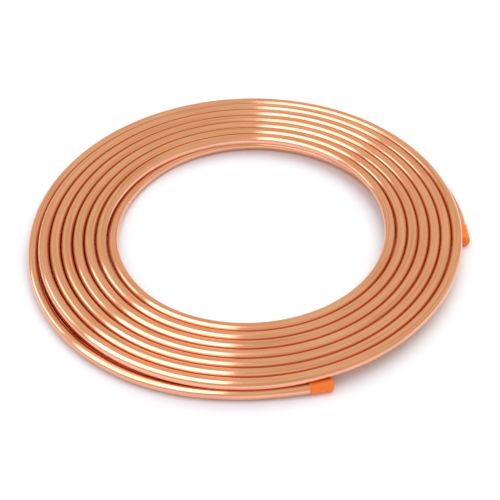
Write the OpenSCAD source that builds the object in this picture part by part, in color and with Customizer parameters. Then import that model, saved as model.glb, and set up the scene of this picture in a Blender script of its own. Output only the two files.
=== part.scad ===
// A coil of soft copper tube, wound flat in two layers, with a push-on cap on each end.
// Units are millimetres. The coil lies on z = 0, and +X is towards its right-hand end.
//
// The tube is one length. It starts at the right-hand cap, on the floor, winds inwards
// as the lower layer, climbs at the bore, winds outwards as the upper layer, then drops
// over the outside and ends on the floor at the front cap. Every stretch is an arc that
// meets the next one square, with the same direction, so the tube never kinks.

/* [Tube] */

// Outside diameter of the tube
tube_od = 12.7; // [6:0.1:28]

// Thickness of the tube's wall
tube_wall = 0.8; // [0.5:0.1:2]

/* [Winding] */

// Radius of the tube's axis in the inmost turn
inner_radius = 160.5; // [60:0.5:400]

// Clear gap between two neighbouring turns
turn_gap = 0.3; // [0.2:0.1:3]

// Turns in the lower layer, counted on its left side
lower_turns = 5; // [1:1:12]

// Turns in the upper layer, counted on its left side
upper_turns = 6; // [1:1:12]

/* [Ends of the tube] */

// Straight that carries the lower layer's end out past its last turn
start_straight = 26.5; // [1:0.5:60]

// Length of the start's slack bend, up to its cut end
start_length = 25; // [10:1:300]

// Radius of the start's slack bend
start_slack_radius = 300; // [250:10:2000]

// How far the dropped turn is drawn in from the left to the front
finish_draw = 6.5; // [0:0.5:12]

// Length of the finish's slack bend, up to its cut end
finish_length = 90; // [10:1:300]

// Radius of the finish's slack bend
finish_slack_radius = 420; // [250:10:2000]

/* [Caps] */

// Depth of the cap's socket
cap_depth = 23; // [8:0.5:60]

// Thickness of the cap's side
cap_wall = 0.6; // [0.4:0.1:3]

// Thickness of the cap's closed end
cap_end = 1.2; // [0.5:0.1:4]

// Rounding of the cap's closed end
cap_round = 1.8; // [0.5:0.1:6]

// Clearance between the tube and the cap's socket
cap_clearance = 0.2; // [0.15:0.05:0.5]

/* [Hidden] */

$fn = 48;

// Sides that the preview gives to a whole turn of the coil.
turn_facets = 180;

// Turns lie one pitch apart, and so do the layers.
pitch = tube_od + turn_gap;

cap_radius = tube_od / 2 + cap_clearance + cap_wall;

// The caps are thicker than the tube, so they set how high the lower layer's axis lies.
low_z = cap_radius;
high_z = low_z + pitch;
middle_z = (low_z + high_z) / 2;

// Left-hand half turns are centred on the Z axis. Right-hand ones are centred half a
// pitch off it, which is what carries the tube from one turn to the next.
function left_radius(turn) = inner_radius + turn * pitch;
function right_radius(turn) = left_radius(turn) + pitch / 2;

// A half turn that changes layer is tilted, which draws its ends in by a tenth of a
// millimetre or so: a clear step for the solids, far too small to see.
function slope(radius) = asin(pitch / 2 / radius);

// The lower layer's end bends like its last turn, but from a centre further right.
start_radius = left_radius(lower_turns);

// The dropped turn comes down outside the upper layer, on a tighter bend in its front half.
drop_radius = left_radius(upper_turns + 1);
finish_radius = drop_radius - finish_draw;

// Both ends run out in a slack bend, nearly straight, that carries the cap.
start_slack_centre = [start_straight + start_radius - start_slack_radius, 0];
finish_slack_centre = [-finish_draw, finish_slack_radius - finish_radius];
function slack_angle(length, radius) = length / radius * 180 / PI;

// The tube still bends a little inside its straight cap, so the rim of its cut end tilts.
tightest_slack = min(start_slack_radius, finish_slack_radius);
rim_tilt = tube_od / 2 * sin(slack_angle(cap_depth / 2, tightest_slack));

// The tube's wall, seen end on, at a distance from the bend's centre.
module wall_section(distance = 0) {
    translate([distance, 0])
    difference() {
        circle(d = tube_od);
        circle(d = tube_od - 2 * tube_wall);
    }
}

// One bend of tube, turning about the Z axis from one angle through a sweep.
module bend(radius, from, sweep) {
    rotate_extrude(start = from, angle = sweep, $fn = turn_facets)
    wall_section(radius);
}

// Left-hand and right-hand half turns of one layer. The right-hand ones are centred
// towards the front where the layer winds in, and towards the back where it winds out.
module left_half(turn) bend(left_radius(turn), 90, 180);

module right_half(turn, shift) {
    translate([0, shift, 0]) bend(right_radius(turn), 270, 180);
}

module lower_layer() {
    translate([0, 0, low_z]) {
        for (turn = [1 : lower_turns]) left_half(turn);
        for (turn = [0 : lower_turns - 1]) right_half(turn, -pitch / 2);
    }
}

module upper_layer() {
    translate([0, 0, high_z]) {
        for (turn = [1 : upper_turns]) left_half(turn);
        for (turn = [0 : upper_turns]) right_half(turn, pitch / 2);
    }
}

// A half turn that changes layer tilts as a whole, so it leaves one layer level and
// meets the other level. One climbs at the bore, and one drops over the outside.
module climb() {
    translate([0, 0, middle_z])
    rotate([-slope(left_radius(0)), 0, 0])
    left_half(0);
}

module drop() {
    translate([0, 0, middle_z])
    rotate([slope((drop_radius + finish_radius) / 2), 0, 0]) {
        bend(drop_radius, 90, 90);
        translate([-finish_draw, 0, 0]) bend(finish_radius, 180, 90);
    }
}

// The flared end of the lower layer, from its last turn out to the cut end.
module start_end() {
    translate([0, start_radius, 0])
    rotate([90, 0, 90])
    linear_extrude(height = start_straight) wall_section();

    translate([start_straight, 0]) bend(start_radius, 0, 90);

    sweep = slack_angle(start_length, start_slack_radius);
    translate(start_slack_centre) bend(start_slack_radius, -sweep, sweep);
}

// The end of the dropped turn on the floor, out to the cut end.
module finish_end() {
    sweep = slack_angle(finish_length, finish_slack_radius);
    translate(finish_slack_centre) bend(finish_slack_radius, 270, sweep);
}

module tube() {
    color("peru")
    union() {
        lower_layer();
        climb();
        upper_layer();
        drop();
        translate([0, 0, low_z]) {
            start_end();
            finish_end();
        }
    }
}

// Half of the cap's outline, with its closed end rounded.
module cap_outline(radius, length) {
    square([radius, length - cap_round]);
    square([radius - cap_round, length]);
    translate([radius - cap_round, length - cap_round])
    intersection() {
        circle(r = cap_round);
        square(cap_round);
    }
}

// A push-on cap, standing on its mouth. Its socket is straight, so the clearance also
// takes up the slack bend of the tube inside it.
module cap() {
    socket = cap_depth + rim_tilt + cap_clearance;
    rotate_extrude()
    difference() {
        cap_outline(cap_radius, socket + cap_end);
        square([tube_od / 2 + cap_clearance, socket]);
    }
}

// Seats a cap on a slack bend. The angle is that of the tube's cut end, and way is 1
// where the tube runs anticlockwise to that end, or -1 where it runs clockwise.
module seat_cap(centre, radius, angle, way) {
    half_depth = cap_depth / 2;
    bow = radius - sqrt(radius * radius - half_depth * half_depth);
    translate([centre[0], centre[1], low_z])
    rotate([0, 0, angle - way * slack_angle(half_depth, radius)])
    translate([radius - bow / 2, -way * half_depth, 0])
    rotate([-90 * way, 0, 0])
    cap();
}

module start_cap() {
    cut = -slack_angle(start_length, start_slack_radius);
    color("darkorange") seat_cap(start_slack_centre, start_slack_radius, cut, -1);
}

module finish_cap() {
    cut = 270 + slack_angle(finish_length, finish_slack_radius);
    color("orange") seat_cap(finish_slack_centre, finish_slack_radius, cut, 1);
}

tube();
start_cap();
finish_cap();
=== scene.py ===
"""A coil of bright copper tube with an orange cap on each end, lying on a pale studio floor.

The tube is one length. It starts at the right-hand cap, winds inwards on the floor, climbs at
the bore, winds outwards on top, drops over the outside and ends at the front cap.
Lengths are in metres unless a name ends in _mm, and angles are in degrees from +X.
"""

import bisect
import logging
import math
from dataclasses import dataclass, field
from enum import Enum
from typing import Any, Iterable, Mapping, Sequence

import bmesh
import bpy
from mathutils import Matrix, Vector


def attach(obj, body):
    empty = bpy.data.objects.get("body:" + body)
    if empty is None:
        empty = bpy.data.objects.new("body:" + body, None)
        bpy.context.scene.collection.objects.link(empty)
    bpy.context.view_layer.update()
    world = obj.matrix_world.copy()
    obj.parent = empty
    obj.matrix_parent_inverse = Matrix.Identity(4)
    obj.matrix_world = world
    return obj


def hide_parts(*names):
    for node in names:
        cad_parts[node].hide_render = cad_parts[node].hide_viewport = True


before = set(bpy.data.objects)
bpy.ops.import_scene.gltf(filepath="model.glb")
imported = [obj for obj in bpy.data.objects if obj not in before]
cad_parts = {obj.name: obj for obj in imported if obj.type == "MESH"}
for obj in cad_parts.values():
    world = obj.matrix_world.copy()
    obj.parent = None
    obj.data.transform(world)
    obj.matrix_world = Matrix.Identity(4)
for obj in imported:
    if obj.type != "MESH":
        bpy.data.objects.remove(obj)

MM = 0.001
TURN = 360.0
STEPS_IN_TURN = 12
log = logging.getLogger("coil")


class Slot(Enum):
    """The record's material slots; each piece keeps the one that names its finish."""

    COPPER = "copper"
    CAP = "cap_plastic"


# ---------------------------------------------------------------------------------------------
# Shader graph


class Value:
    """A number or vector socket in a shader graph, with arithmetic that adds Math nodes."""

    def __init__(self, graph: "Graph", socket: bpy.types.NodeSocket) -> None:
        """Keeps the socket and the graph that it belongs to."""
        self.graph = graph
        self.socket = socket

    def _math(self, operation: str, *operands: Any) -> "Value":
        """Adds one Math node.

        Args:
            operation: The Math node's operation.
            operands: Values or numbers, in the order of its sockets.

        Returns:
            The node's result.
        """
        sockets = dict(enumerate(operands))
        return self.graph.node("ShaderNodeMath", {"operation": operation}, sockets).out()

    def __add__(self, other: Any) -> "Value":
        """self + other."""
        return self._math("ADD", self, other)

    __radd__ = __add__

    def __sub__(self, other: Any) -> "Value":
        """self - other."""
        return self._math("SUBTRACT", self, other)

    def __rsub__(self, other: Any) -> "Value":
        """other - self."""
        return self._math("SUBTRACT", other, self)

    def __mul__(self, other: Any) -> "Value":
        """self * other."""
        return self._math("MULTIPLY", self, other)

    __rmul__ = __mul__

    def __truediv__(self, other: Any) -> "Value":
        """self / other."""
        return self._math("DIVIDE", self, other)

    def __rtruediv__(self, other: Any) -> "Value":
        """other / self."""
        return self._math("DIVIDE", other, self)

    def clamp(self) -> "Value":
        """The value held between 0 and 1."""
        return self._math("MAXIMUM", self._math("MINIMUM", self, 1.0), 0.0)

    def band(self, low: float, high: float) -> "Value":
        """0 below low, 1 above high, and a straight rise between them."""
        return ((self - low) / (high - low)).clamp()


class Node:
    """A shader node, with short ways to its output sockets."""

    def __init__(self, graph: "Graph", node: bpy.types.Node) -> None:
        """Keeps the node and the graph that it belongs to."""
        self.graph = graph
        self.node = node

    def out(self, name: Any = 0) -> Value:
        """The output socket with that name or number."""
        return Value(self.graph, self.node.outputs[name])


@dataclass(frozen=True)
class Grain:
    """How fine a smooth noise is, and how far it is drawn out along the third axis.

    The scale is the number of features in a metre. Lengths along the third axis are multiplied
    by the squeeze, so a small one draws the noise out along it.
    """

    scale: float
    detail: float = 2.0
    roughness: float = 0.5
    squeeze: float = 1.0


@dataclass(frozen=True)
class Blend:
    """Where a mask begins and is complete, and how strongly it acts there."""

    low: float
    high: float
    strength: float = 1.0

    def of(self, value: Value) -> Value:
        """The mask that the value makes."""
        return value.band(self.low, self.high) * self.strength


class Graph:
    """The node tree of one material."""

    def __init__(self, name: str) -> None:
        """Makes an empty material.

        Args:
            name: The material's name.
        """
        self.material = bpy.data.materials.new(name)
        self.material.use_nodes = True
        self.tree = self.material.node_tree
        self.tree.nodes.clear()

    def node(
        self,
        kind: str,
        settings: Mapping[str, Any] | None = None,
        sockets: Mapping[Any, Any] | None = None,
    ) -> Node:
        """Adds any node.

        Args:
            kind: The node's type.
            settings: Its settings, which are set first.
            sockets: What each input socket holds, by name or number: a Value, or a constant.

        Returns:
            The node.
        """
        node = self.tree.nodes.new(kind)
        for key, value in (settings or {}).items():
            setattr(node, key, value)
        for key, value in (sockets or {}).items():
            if isinstance(value, Value):
                self.tree.links.new(value.socket, node.inputs[key])
            else:
                node.inputs[key].default_value = value
        return Node(self, node)

    def attribute(self, name: str) -> Node:
        """A mesh attribute, by its name."""
        return self.node("ShaderNodeAttribute", {"attribute_name": name})

    def noise(self, vector: Value, grain: Grain) -> Value:
        """Smooth noise.

        Args:
            vector: Where to read it.
            grain: How it looks.

        Returns:
            The noise, about 0.5 on average.
        """
        stretch = {0: vector, 1: (1.0, 1.0, grain.squeeze)}
        stretched = self.node("ShaderNodeVectorMath", {"operation": "MULTIPLY"}, stretch).out()
        sockets = {
            "Vector": stretched,
            "Scale": grain.scale,
            "Detail": grain.detail,
            "Roughness": grain.roughness,
        }
        return self.node("ShaderNodeTexNoise", None, sockets).out("Fac")

    def mix(self, factor: Any, first: Any, second: Any) -> Value:
        """Blends two colours.

        Args:
            factor: 0 for the first and 1 for the second.
            first: A colour, or a Value that carries one.
            second: A colour, or a Value that carries one.

        Returns:
            The blended colour.
        """
        sockets = {0: factor, 6: first, 7: second}
        return self.node("ShaderNodeMix", {"data_type": "RGBA"}, sockets).out(2)

    def finish(self, shader: Node) -> bpy.types.Material:
        """Links the shader to the material's output and hands the material over."""
        self.node("ShaderNodeOutputMaterial", None, {"Surface": shader.out()})
        return self.material


# ---------------------------------------------------------------------------------------------
# Finishes


@dataclass(frozen=True)
class BrightCopper:
    """Soft copper tube as drawn: bright, lined along its length, with painted shade in the grooves
    where turns touch.
    """

    fresh: tuple[float, ...] = (0.93, 0.52, 0.38, 1.0)
    warm: tuple[float, ...] = (0.90, 0.455, 0.30, 1.0)
    drawn: tuple[float, ...] = (0.80, 0.37, 0.25, 1.0)
    tarnish: tuple[float, ...] = (0.62, 0.28, 0.16, 1.0)
    # painted shade: the dark red-brown of the grooves between touching turns
    groove_shade: tuple[float, ...] = (0.68, 0.21, 0.03, 1.0)
    roughness: float = 0.12
    roughness_spread: float = 0.07
    line_height: float = 0.02
    wave_height: float = 0.25
    cloud: Grain = Grain(55.0, detail=3.0, squeeze=0.25)
    lines: Grain = Grain(1500.0, squeeze=0.006)
    spots: Grain = Grain(420.0, detail=3.0, roughness=0.6, squeeze=0.5)
    waves: Grain = Grain(14.0, detail=1.0)
    bands: Grain = Grain(380.0, squeeze=0.02)
    scores: Grain = Grain(800.0, squeeze=0.012)
    warmed: Blend = Blend(0.35, 0.70)
    banded: Blend = Blend(0.46, 0.66, 0.75)
    scored: Blend = Blend(0.50, 0.68, 0.55)
    spotted: Blend = Blend(0.66, 0.78, 0.45)
    # how strongly the painted groove shade covers the sides that face the next turn
    groove_shaded: Blend = Blend(0.80, 0.99, 0.9)
    dulled: Blend = Blend(0.84, 1.0, 0.3)
    misted: Blend = Blend(0.45, 0.70, 0.10)

    def material(self) -> bpy.types.Material:
        """Builds the finish.

        Returns:
            The material, which reads the tube's own straightened coordinates.
        """
        graph = Graph("bright_copper")
        along = graph.attribute("straightened").out("Vector")
        touching = graph.attribute("touching").out("Fac")
        cloud = graph.noise(along, self.cloud)
        lines = graph.noise(along, self.lines)
        color = graph.mix(self.warmed.of(cloud), self.fresh, self.warm)
        color = graph.mix(self.banded.of(graph.noise(along, self.bands)), color, self.drawn)
        color = graph.mix(self.scored.of(graph.noise(along, self.scores)), color, self.tarnish)
        color = graph.mix(self.spotted.of(graph.noise(along, self.spots)), color, self.tarnish)
        # painted groove shade: the sides facing the next turn are darkened and made less metallic
        color = graph.mix(self.groove_shaded.of(touching), color, self.groove_shade)
        metallic = 1.0 - self.dulled.of(touching)
        rough = self.roughness + (lines - 0.5) * self.roughness_spread + self.misted.of(cloud)
        height = lines * self.line_height + graph.noise(along, self.waves) * self.wave_height
        relief = {"Strength": 1.0, "Distance": MM, "Height": height}
        bump = graph.node("ShaderNodeBump", None, relief)
        shader = graph.node(
            "ShaderNodeBsdfPrincipled",
            None,
            {"Base Color": color, "Metallic": metallic, "Roughness": rough, "Normal": bump.out()},
        )
        return graph.finish(shader)


@dataclass(frozen=True)
class SoftOrangePlastic:
    """Dipped vinyl of a push-on cap: saturated orange, softly glossy, slightly cloudy."""

    body: tuple[float, ...] = (0.95, 0.175, 0.008, 1.0)
    pale: tuple[float, ...] = (1.0, 0.21, 0.018, 1.0)
    roughness: float = 0.34
    roughness_spread: float = 0.12
    relief: float = 0.1 * MM
    glow: float = 0.15
    glow_depth: float = 2.0 * MM
    cloud: Grain = Grain(160.0, detail=3.0)
    grain: Grain = Grain(1400.0)
    clouded: Blend = Blend(0.35, 0.7)

    def material(self) -> bpy.types.Material:
        """Builds the finish.

        Returns:
            The material.
        """
        graph = Graph("soft_orange_plastic")
        place = graph.node("ShaderNodeTexCoord").out("Object")
        grain = graph.noise(place, self.grain)
        color = graph.mix(self.clouded.of(graph.noise(place, self.cloud)), self.body, self.pale)
        rough = self.roughness + (grain - 0.5) * self.roughness_spread
        relief = {"Strength": 0.25, "Distance": self.relief, "Height": grain}
        bump = graph.node("ShaderNodeBump", None, relief)
        shader = graph.node(
            "ShaderNodeBsdfPrincipled",
            None,
            {
                "Base Color": color,
                "Roughness": rough,
                "Normal": bump.out(),
                "Subsurface Weight": self.glow,
                "Subsurface Scale": self.glow_depth,
            },
        )
        return graph.finish(shader)


@dataclass(frozen=True)
class StudioFloor:
    """A plain matt white floor."""

    color: tuple[float, ...] = (0.93, 0.92, 0.93, 1.0)
    roughness: float = 0.9
    specular: float = 0.1

    def material(self) -> bpy.types.Material:
        """Builds the finish.

        Returns:
            The material.
        """
        graph = Graph("studio_floor")
        sockets = {
            "Base Color": self.color,
            "Roughness": self.roughness,
            "Specular IOR Level": self.specular,
        }
        return graph.finish(graph.node("ShaderNodeBsdfPrincipled", None, sockets))


# ---------------------------------------------------------------------------------------------
# The tube's route


class SmoothCurve:
    """A curve through given places that never swings past them."""

    def __init__(self, places: Sequence[float], values: Sequence[float]) -> None:
        """Works out a slope at each place.

        Args:
            places: The places, in rising order.
            values: The value at each place.
        """
        self.places = list(places)
        self.values = list(values)
        runs = [b - a for a, b in zip(self.places, self.places[1:])]
        rises = [(b - a) / run for a, b, run in zip(self.values, self.values[1:], runs)]
        self.slopes = [rises[0]]
        for index in range(1, len(runs)):
            before, after = rises[index - 1], rises[index]
            if before * after <= 0:
                self.slopes.append(0.0)
                continue
            first = 2 * runs[index] + runs[index - 1]
            second = runs[index] + 2 * runs[index - 1]
            self.slopes.append((first + second) / (first / before + second / after))
        self.slopes.append(rises[-1])

    def at(self, place: float) -> float:
        """The value at a place.

        Args:
            place: Where to read the curve.

        Returns:
            The value there.
        """
        k = min(max(bisect.bisect_right(self.places, place) - 1, 0), len(self.places) - 2)
        run = self.places[k + 1] - self.places[k]
        t = (place - self.places[k]) / run
        before, after = self.values[k], self.values[k + 1]
        leaving, arriving = run * self.slopes[k], run * self.slopes[k + 1]
        start = (1 + 2 * t) * (1 - t) ** 2 * before + t * (1 - t) ** 2 * leaving
        end = t * t * (3 - 2 * t) * after + t * t * (t - 1) * arriving
        return start + end


@dataclass(frozen=True)
class Station:
    """One place on the tube's axis, in millimetres.

    The angle keeps counting up from turn to turn, so 450 is a whole turn on from 90.
    """

    angle: float
    radius_mm: float
    height_mm: float


@dataclass
class Winding:
    """The route of the tube's axis: two flat spirals, and the bends that join and end them.

    Both layers run anticlockwise, seen from above. The lower one winds inwards from the start,
    and the upper one winds outwards to the finish. Each winds evenly from even_from on, counted
    from the angle where its first turn begins.
    """

    floor_mm: float = 6.6
    cap_mm: float = 7.22
    top_mm: float = 19.4
    lower_outer_mm: float = 225.3
    lower_pitch_mm: float = 13.0
    lower_turns: int = 5
    turns_to_outside: int = 7
    even_from: float = 450.0
    middle_turn_mm: float = 209.26
    middle_turn: float = 3.0
    upper_pitch_mm: float = 13.06
    upper_spread_mm: float = 0.33
    loose_side: float = 175.0
    upper_turns: float = 5.5
    points_in_turn: int = 150
    drift_angles: tuple[float, ...] = (0, 30, 60, 90, 120, 150, 180, 210, 240, 270, 300, 330, 360)
    drift_mm: tuple[float, ...] = (
        *(-0.8, -0.95, -0.85, -1.4, -1.9, -2.4),
        *(-1.2, 0.1, 1.4, 0.5, 0.0, -0.45, -0.8),
    )
    drift: SmoothCurve = field(init=False)
    stations: list[Station] = field(init=False)

    def __post_init__(self) -> None:
        """Lists the stations from the start to the finish."""
        self.drift = SmoothCurve(self.drift_angles, self.drift_mm)
        bore = TURN * self.lower_turns
        self.stations = [
            *self._start(),
            *self._lower_layer(),
            *self._bore(bore),
            *self._upper_layer(bore + self.even_from),
            *self._drop(bore + TURN * self.turns_to_outside),
        ]

    def _start(self) -> list[Station]:
        """The flared end on the floor, from the right-hand cap to where it slips underneath.

        Returns:
            The stations, up to where the even spiral starts.
        """
        return [
            Station(-5.6, 252.9, self.cap_mm),
            Station(0.0, 252.0, self.cap_mm),
            Station(7.0, 252.2, self.cap_mm - 0.2),
            Station(14.0, 252.0, self.floor_mm),
            Station(21.0, 250.6, self.floor_mm),
            Station(35.0, 244.8, self.floor_mm),
            Station(52.0, 240.4, self.floor_mm),
            Station(70.0, 239.0, self.floor_mm),
            Station(90.0, 238.4, self.floor_mm),
            Station(120.0, 237.6, self.floor_mm),
            Station(150.0, 237.4, self.floor_mm),
            Station(180.0, 238.6, self.floor_mm),
            Station(195.0, 239.2, self.floor_mm),
            Station(212.0, 239.2, self.floor_mm),
            Station(228.0, 238.2, self.floor_mm),
            Station(240.0, 237.1, self.floor_mm),
            Station(252.0, 234.6, self.floor_mm),
            Station(264.0, 232.2, self.floor_mm),
            Station(274.0, 231.7, self.floor_mm),
            Station(295.0, 230.9, self.floor_mm),
            Station(325.0, 229.9, self.floor_mm),
            Station(360.0, 228.6, self.floor_mm),
            Station(400.0, 227.1, self.floor_mm),
        ]

    def _lower_layer(self) -> Iterable[Station]:
        """The inward spiral on the floor, in even steps.

        Yields:
            The stations, up to the inmost lower turn.
        """
        for index in range((self.lower_turns - 1) * STEPS_IN_TURN + 1):
            turned = index / STEPS_IN_TURN
            radius = self.lower_outer_mm - self.lower_pitch_mm * turned
            yield Station(self.even_from + TURN * turned, radius, self.floor_mm)

    def _bore(self, base: float) -> list[Station]:
        """The climb at the bore, and the slack first turn of the upper layer.

        Args:
            base: The angle at which the lower layer's last turn began.

        Returns:
            The stations, up to where the even spiral starts.
        """
        middle = (self.floor_mm + self.top_mm) / 2
        return [
            Station(base + 120.0, 169.6, self.floor_mm),
            Station(base + 140.0, 165.2, self.floor_mm + 0.3),
            Station(base + 160.0, 161.2, middle - 3.9),
            Station(base + 180.0, 159.0, middle),
            Station(base + 200.0, 159.2, middle + 3.6),
            Station(base + 220.0, 161.6, self.top_mm - 0.8),
            Station(base + 240.0, 163.7, self.top_mm),
            Station(base + 265.0, 164.2, self.top_mm),
            Station(base + 295.0, 165.2, self.top_mm),
            Station(base + 325.0, 166.1, self.top_mm),
            Station(base + 355.0, 166.4, self.top_mm),
            Station(base + 387.0, 167.6, self.top_mm),
            Station(base + 420.0, 168.6, self.top_mm),
        ]

    def upper_radius(self, turned: float, angle: float) -> float:
        """How far out an upper turn lies.

        Args:
            turned: Turns since the even spiral began.
            angle: The angle there. The turns lie a little looser on one side.

        Returns:
            The radius of the axis, in millimetres.
        """
        loose = math.cos(math.radians(angle - self.loose_side))
        pitch = self.upper_pitch_mm + self.upper_spread_mm * loose
        middle = self.middle_turn_mm + self.drift.at(angle % TURN)
        return middle + (turned - self.middle_turn) * pitch

    def _upper_layer(self, base: float) -> Iterable[Station]:
        """The outward spiral on top, in even steps.

        Args:
            base: The angle at which it begins.

        Yields:
            The stations, up to where the outermost turn takes over.
        """
        for index in range(int(self.upper_turns * STEPS_IN_TURN) + 1):
            turned = index / STEPS_IN_TURN
            angle = base + TURN * turned
            yield Station(angle, self.upper_radius(turned, angle), self.top_mm)

    def _drop(self, base: float) -> list[Station]:
        """The outermost turn, its drop over the outside, and the end at the front cap.

        Args:
            base: The angle on the +X side at which the outermost turn begins.

        Returns:
            The stations, up to the tube's cut end.
        """
        middle = (self.floor_mm + self.top_mm) / 2
        return [
            Station(base - 75.0, 242.4, self.top_mm + 0.45),
            Station(base - 55.0, 242.6, self.top_mm + 0.1),
            Station(base - 20.0, 243.1, self.top_mm),
            Station(base + 20.0, 244.2, self.top_mm),
            Station(base + 60.0, 246.2, self.top_mm - 0.5),
            Station(base + 100.0, 247.6, self.top_mm - 1.2),
            Station(base + 130.0, 248.4, self.top_mm - 1.6),
            Station(base + 150.0, 249.0, self.top_mm - 2.6),
            Station(base + 168.0, 250.2, middle + 2.4),
            Station(base + 184.0, 251.4, middle - 1.0),
            Station(base + 200.0, 252.6, self.floor_mm + 1.0),
            Station(base + 215.0, 252.4, self.floor_mm),
            Station(base + 235.0, 251.0, self.floor_mm),
            Station(base + 252.0, 247.8, self.floor_mm),
            Station(base + 264.0, 245.2, self.floor_mm),
            Station(base + 273.0, 244.7, self.floor_mm + 0.1),
            Station(base + 284.0, 247.2, self.cap_mm),
            Station(base + 289.3, 249.9, self.cap_mm),
        ]

    def axis(self) -> list[Vector]:
        """The tube's axis as close points, in metres.

        Returns:
            The points, from the start's cut end to the finish's.
        """
        first = self.stations[0].angle
        span = self.stations[-1].angle - first
        count = round(span / TURN * self.points_in_turn)
        angles = [station.angle for station in self.stations]
        radii = SmoothCurve(angles, [station.radius_mm for station in self.stations])
        heights = SmoothCurve(angles, [station.height_mm for station in self.stations])
        points = []
        for index in range(count + 1):
            angle = first + span * index / count
            radius = radii.at(angle) * MM
            turn = math.radians(angle)
            across = (radius * math.cos(turn), radius * math.sin(turn))
            points.append(Vector((*across, heights.at(angle) * MM)))
        return points


# ---------------------------------------------------------------------------------------------
# Pieces


def square_to(along: Vector) -> tuple[Vector, Vector]:
    """Two directions square to a level one.

    Args:
        along: The direction of the tube or cap there.

    Returns:
        The level direction across it, and the upward one.
    """
    outward = along.cross(Vector((0.0, 0.0, 1.0))).normalized()
    return outward, outward.cross(along)


def bridge(
    shell: bmesh.types.BMesh,
    ring: Sequence[bmesh.types.BMVert],
    following: Sequence[bmesh.types.BMVert],
) -> None:
    """Joins two rings of points with faces. Either of them may be a single point.

    Args:
        shell: The mesh being made.
        ring: The first ring.
        following: The next one.
    """
    sides = max(len(ring), len(following))
    for side in range(sides):
        after = (side + 1) % sides
        if len(ring) == 1:
            shell.faces.new((ring[0], following[after], following[side]))
        elif len(following) == 1:
            shell.faces.new((ring[side], ring[after], following[0]))
        else:
            shell.faces.new((ring[side], ring[after], following[after], following[side]))


@dataclass
class Piece:
    """What every piece of the coil is: a mesh that rides on the body and stands for a node."""

    name: str
    node: str
    slot: Slot

    def place(self, mesh: bpy.types.Mesh, material: bpy.types.Material) -> bpy.types.Object:
        """Puts a finished mesh into the scene as this piece.

        Args:
            mesh: The mesh, in the row frame.
            material: Its finish.

        Returns:
            The piece's object.
        """
        mesh.materials.append(material)
        mesh.shade_smooth()
        piece = bpy.data.objects.new(self.name, mesh)
        bpy.context.scene.collection.objects.link(piece)
        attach(piece, "root")
        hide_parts(self.node)
        log.info("%s: %d faces", self.name, len(mesh.polygons))
        return piece


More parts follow.
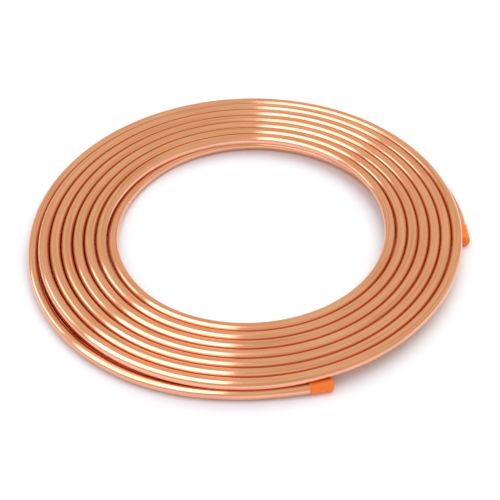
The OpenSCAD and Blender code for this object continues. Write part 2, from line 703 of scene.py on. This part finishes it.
@dataclass
class CopperTube(Piece):
    """The one length of tube, swept along the winding with its wall showing at both ends."""

    name: str = "copper_tube"
    node: str = "tube"
    slot: Slot = Slot.COPPER
    outer_radius: float = 6.35 * MM
    wall: float = 0.8 * MM
    open_depth: float = 8.0 * MM
    near_limit: float = 25.0 * MM
    near_fade: float = 5.0 * MM
    sides: int = 40

    def build(self, winding: Winding, finish: BrightCopper) -> bpy.types.Object:
        """Sweeps the tube and dresses it.

        Args:
            winding: The route of its axis.
            finish: The copper's finish.

        Returns:
            The tube's object.
        """
        axis = winding.axis()
        mesh = bpy.data.meshes.new(self.name)
        shell = bmesh.new()
        layer = shell.verts.layers.float_vector.new("straightened")
        touching = shell.verts.layers.float.new("touching")
        rings = self._end_rings(shell, layer, axis, 0)
        run = 0.0
        for index, point in enumerate(axis):
            if index:
                run += (point - axis[index - 1]).length
            ring = self._ring(shell, layer, axis, index, self.outer_radius, run, 0.0)
            self._mark_touching(ring, touching, axis, index, winding)
            rings.append(ring)
        rings += self._end_rings(shell, layer, axis, len(axis) - 1, run)
        for ring, following in zip(rings, rings[1:]):
            bridge(shell, ring, following)
        shell.faces.new(rings[0][::-1])
        shell.faces.new(rings[-1])
        bmesh.ops.recalc_face_normals(shell, faces=shell.faces)
        shell.to_mesh(mesh)
        shell.free()
        log.info("tube length %.2f m", run)
        return self.place(mesh, finish.material())

    def _mark_touching(
        self,
        ring: list[bmesh.types.BMVert],
        touching: Any,
        axis: list[Vector],
        index: int,
        winding: Winding,
    ) -> None:
        """Marks the sides that lie against the next turn in or out, where the painted groove shade
        and dulling go.

        Args:
            ring: The points around the axis.
            touching: The layer that takes 1 where the side faces the next turn.
            axis: The tube's axis.
            index: The point of the axis that the ring is square to.
            winding: The winding, which knows how many points make a turn.
        """
        centre = axis[index]
        for other in (index - winding.points_in_turn, index + winding.points_in_turn):
            if not 0 <= other < len(axis):
                continue
            gap = axis[other] - centre
            near = min(max((self.near_limit - gap.length) / self.near_fade, 0.0), 1.0)
            toward = gap.normalized()
            for point in ring:
                facing = (point.co - centre).normalized().dot(toward) * near
                point[touching] = max(point[touching], facing)

    def _end_rings(
        self, shell: bmesh.types.BMesh, layer: Any, axis: list[Vector], index: int, run: float = 0.0
    ) -> list[list[bmesh.types.BMVert]]:
        """The rings that turn the cut end in to its wall and down its bore.

        Args:
            shell: The mesh being made.
            layer: Its straightened coordinates.
            axis: The tube's axis.
            index: Which end of the axis it is.
            run: How far along the tube that end lies.

        Returns:
            The rings, in the order of the axis.
        """
        inner = self.outer_radius - self.wall
        at_start = index == 0
        inward = self.open_depth if at_start else -self.open_depth
        lip = self._ring(shell, layer, axis, index, inner, run, 0.0)
        floor = self._ring(shell, layer, axis, index, inner, run + inward, inward)
        return [floor, lip] if at_start else [lip, floor]

    def _ring(
        self,
        shell: bmesh.types.BMesh,
        layer: Any,
        axis: list[Vector],
        index: int,
        radius: float,
        run: float,
        shift: float,
    ) -> list[bmesh.types.BMVert]:
        """One ring of points around the axis.

        Args:
            shell: The mesh being made.
            layer: Its straightened coordinates.
            axis: The tube's axis.
            index: The point of the axis that the ring is square to.
            radius: The ring's radius.
            run: How far along the tube it lies.
            shift: How far it is moved along the axis.

        Returns:
            The ring's points.
        """
        before, after = axis[max(index - 1, 0)], axis[min(index + 1, len(axis) - 1)]
        along = (after - before).normalized()
        outward, upward = square_to(along)
        centre = axis[index] + along * shift
        ring = []
        for side in range(self.sides):
            turn = 2 * math.pi * side / self.sides
            across = (radius * math.cos(turn), radius * math.sin(turn))
            point = shell.verts.new(centre + outward * across[0] + upward * across[1])
            point[layer] = (*across, run)
            ring.append(point)
        return ring


@dataclass
class PushOnCap(Piece):
    """A push-on cap, turned from its outline: plain rim, straight side, soft closed end."""

    name: str = "cap"
    node: str = ""
    slot: Slot = Slot.CAP
    radius: float = 7.15 * MM
    wall: float = 0.6 * MM
    end: float = 1.2 * MM
    length: float = 25.8 * MM
    end_round: float = 3.0 * MM
    end_parts: int = 8
    end_step: float = 0.5
    rim_round: float = 0.25 * MM
    rim_parts: int = 4
    corner: float = 0.5 * MM
    side_steps: tuple[float, ...] = (0.2, 0.5, 0.8)
    clearance: float = 0.2 * MM
    sides: int = 64

    def outline(self) -> list[tuple[float, float]]:
        """The cap's section, from the socket's end round the rim to the closed end's middle.

        Returns:
            Points as a distance from the axis and a distance from the mouth.
        """
        inner = self.radius - self.wall
        bottom = self.length - self.end
        points = [(0.0, bottom), (inner - self.corner, bottom), (inner, bottom - self.corner)]
        half = self.wall / 2
        for part in range(self.rim_parts + 1):
            turn = math.pi * (1 - part / self.rim_parts)
            depth = self.rim_round * (1 - math.sin(turn))
            points.append((inner + half + half * math.cos(turn), depth))
        points += [(self.radius, self.length * step) for step in self.side_steps]
        for part in range(self.end_parts + 1):
            turn = math.pi / 2 * part / self.end_parts
            radius = self.radius - self.end_round * (1 - math.cos(turn))
            points.append((radius, self.length - self.end_round * (1 - math.sin(turn))))
        flat = self.radius - self.end_round
        points += [(flat * self.end_step, self.length), (0.0, self.length)]
        return points

    def build(self, axis: list[Vector], material: bpy.types.Material) -> bpy.types.Object:
        """Turns the cap and seats it on the end of the tube.

        Args:
            axis: The tube's axis, ending at the cut end that the cap covers.
            material: The cap's finish.

        Returns:
            The cap's object.
        """
        covered = self.length - self.end
        end = axis[-1]
        back = next(p for p in reversed(axis) if (end - p).length >= covered)
        along = (end - back).normalized()
        outward, upward = square_to(along)
        mouth = end - along * (covered - self.clearance)
        shell = bmesh.new()
        rings = []
        for radius, distance in self.outline():
            centre = mouth + along * distance
            if radius == 0.0:
                rings.append([shell.verts.new(centre)])
                continue
            ring = []
            for side in range(self.sides):
                turn = 2 * math.pi * side / self.sides
                across = outward * radius * math.cos(turn)
                ring.append(shell.verts.new(centre + across + upward * radius * math.sin(turn)))
            rings.append(ring)
        for ring, following in zip(rings, rings[1:]):
            bridge(shell, ring, following)
        bmesh.ops.recalc_face_normals(shell, faces=shell.faces)
        mesh = bpy.data.meshes.new(self.name)
        shell.to_mesh(mesh)
        shell.free()
        return self.place(mesh, material)


# ---------------------------------------------------------------------------------------------
# The studio


class Seen(Enum):
    """What a light falls on."""

    METAL = "metal"
    MATT = "matt"


@dataclass(frozen=True)
class Softbox:
    """A flat, even light that faces the coil as squarely as its upright edges allow."""

    name: str
    place: tuple[float, float, float]
    upright: tuple[float, float, float]
    width: float
    height: float
    radiance: float
    seen: Seen
    color: tuple[float, float, float] = (1.0, 1.0, 1.0)

    def build(self) -> None:
        """Hangs the light."""
        light = bpy.data.lights.new(self.name, "AREA")
        light.shape = "RECTANGLE"
        light.size, light.size_y = self.width, self.height
        light.energy = self.radiance * math.pi * self.width * self.height
        light.color = self.color
        upright = Vector(self.upright).normalized()
        place = Vector(self.place)
        outward = (place - upright * place.dot(upright)).normalized()
        turn = Matrix((upright.cross(outward), upright, outward)).transposed().to_4x4()
        softbox = bpy.data.objects.new(self.name, light)
        softbox.matrix_world = Matrix.Translation(place) @ turn
        softbox.visible_camera = False
        softbox.visible_glossy = self.seen is Seen.METAL
        softbox.visible_diffuse = self.seen is Seen.MATT
        bpy.context.scene.collection.objects.link(softbox)


@dataclass(frozen=True)
class Studio:
    """The floor, the lights and the camera, which aren't part of the coil."""

    floor_size: float = 40.0
    distance: float = 1.41596
    elevation: float = 42.834
    roll: float = -1.8
    target: tuple[float, float] = (0.00185, -0.0193)
    lens: float = 86.87
    sensor: float = 36.0
    surround: tuple[float, float, float, float] = (0.79, 0.71, 0.51, 1.0)
    lean: tuple[float, float, float] = (0.0, 0.433, 0.901)
    level: tuple[float, float, float] = (1.0, 0.0, 0.0)
    cool: tuple[float, float, float] = (0.80, 0.83, 1.0)
    sky: tuple[float, float, float] = (0.24, 0.45, 1.0)
    sun: tuple[float, float, float] = (1.0, 1.0, 0.80)

    def build(self) -> None:
        """Makes the floor, the lights and the camera."""
        self._floor()
        self._surround()
        for light in self._lights():
            light.build()
        self._camera()

    def _lights(self) -> list[Softbox]:
        """Lists the lights.

        Returns:
            The tall softbox and the small one, which the copper mirrors, then the fill and the
            ceiling, which light the floor and the caps.
        """
        return [
            Softbox(
                "tall_softbox",
                place=(-0.99, -0.317, 2.01),
                upright=self.lean,
                width=1.87,
                height=3.0,
                radiance=2.1,
                seen=Seen.METAL,
                color=self.cool,
            ),
            Softbox(
                "small_softbox",
                place=(-1.87, 0.62, 1.05),
                upright=self.lean,
                width=0.82,
                height=1.0,
                radiance=2.0,
                seen=Seen.METAL,
                color=self.cool,
            ),
            Softbox(
                "fill",
                place=(1.5, 1.3, 3.2),
                upright=self.level,
                width=3.8,
                height=3.8,
                radiance=1.3,
                seen=Seen.MATT,
                color=self.sun,
            ),
            Softbox(
                "ceiling",
                place=(0.0, 0.0, 4.0),
                upright=self.level,
                width=8.0,
                height=8.0,
                radiance=0.85,
                seen=Seen.MATT,
                color=self.sky,
            ),
        ]

    def _floor(self) -> None:
        """Lays the floor."""
        mesh = bpy.data.meshes.new("floor")
        half = self.floor_size / 2
        outline = ((-half, -half), (half, -half), (half, half), (-half, half))
        corners = [(x, y, 0.0) for x, y in outline]
        mesh.from_pydata(corners, [], [(0, 1, 2, 3)])
        mesh.materials.append(StudioFloor().material())
        floor = bpy.data.objects.new("floor", mesh)
        bpy.context.scene.collection.objects.link(floor)

    def _surround(self) -> None:
        """Makes the even, warm surround."""
        world = bpy.data.worlds.new("surround")
        world.use_nodes = True
        background = world.node_tree.nodes["Background"]
        background.inputs["Color"].default_value = self.surround
        bpy.context.scene.world = world
        bpy.context.scene.view_settings.view_transform = "Standard"

    def _camera(self) -> None:
        """Sets the camera up at the front, looking down on the coil."""
        elevation, roll = math.radians(self.elevation), math.radians(self.roll)
        back = Vector((0.0, -math.cos(elevation), math.sin(elevation)))
        level = Vector(self.level)
        up = back.cross(level)
        right = level * math.cos(roll) + up * math.sin(roll)
        upright = up * math.cos(roll) - level * math.sin(roll)
        place = Vector((*self.target, 0.0)) + back * self.distance
        data = bpy.data.cameras.new("camera")
        data.lens = self.lens
        data.sensor_width = self.sensor
        camera = bpy.data.objects.new("camera", data)
        turn = Matrix((right, upright, back)).transposed().to_4x4()
        camera.matrix_world = Matrix.Translation(place) @ turn
        bpy.context.scene.collection.objects.link(camera)
        bpy.context.scene.camera = camera


def main() -> None:
    """Builds the coil and its studio, and reports each piece."""
    logging.basicConfig(level=logging.INFO, format="%(name)s: %(message)s")
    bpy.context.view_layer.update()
    winding = Winding()
    axis = winding.axis()
    CopperTube().build(winding, BrightCopper())
    plastic = SoftOrangePlastic().material()
    PushOnCap(name="right_cap", node="start_cap").build(axis[::-1], plastic)
    PushOnCap(name="front_cap", node="finish_cap").build(axis, plastic)
    Studio().build()


if __name__ == "__main__":
    main()
